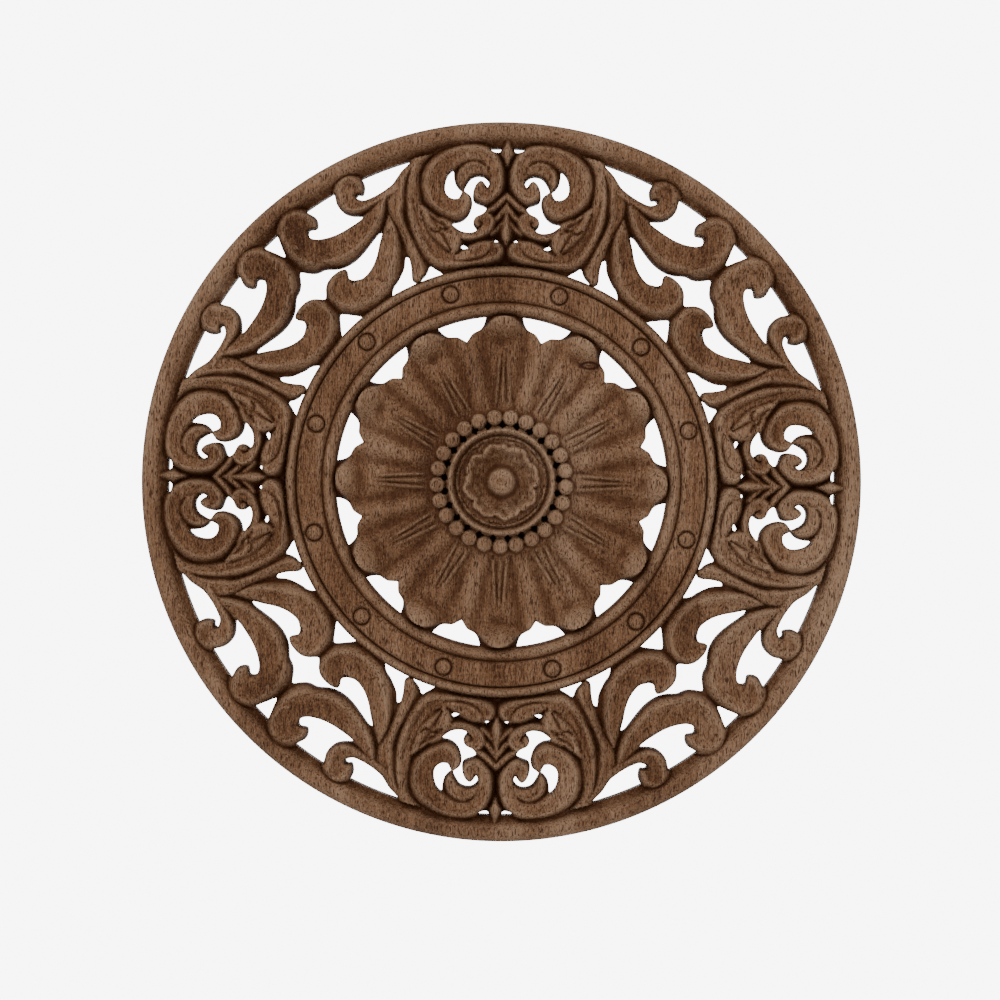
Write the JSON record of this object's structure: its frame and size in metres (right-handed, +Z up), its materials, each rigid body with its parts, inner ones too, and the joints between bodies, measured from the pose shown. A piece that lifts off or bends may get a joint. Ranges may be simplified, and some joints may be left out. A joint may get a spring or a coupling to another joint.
{
  "type": "carved wood applique",
  "caption": "Round pierced wall applique carved from one board: a petalled flower in a ring, with scrolls and leaves between the ring and a plain rim.",
  "frame": {"origin": "centre of the flat back, on the plane that rests on the wall or panel", "axes": "+Z up, +X to the right as seen from the front, +Y out of the back into the wall, so the carved front faces -Y"},
  "size_m": [0.3, 0.018, 0.3],
  "materials": {
    "wood": "bare oiled hardwood with dark open pores, matt, darker in the recesses"
  },
  "bodies": {
    "root": {"carved_applique": "wood"}
  },
  "joints": []
}
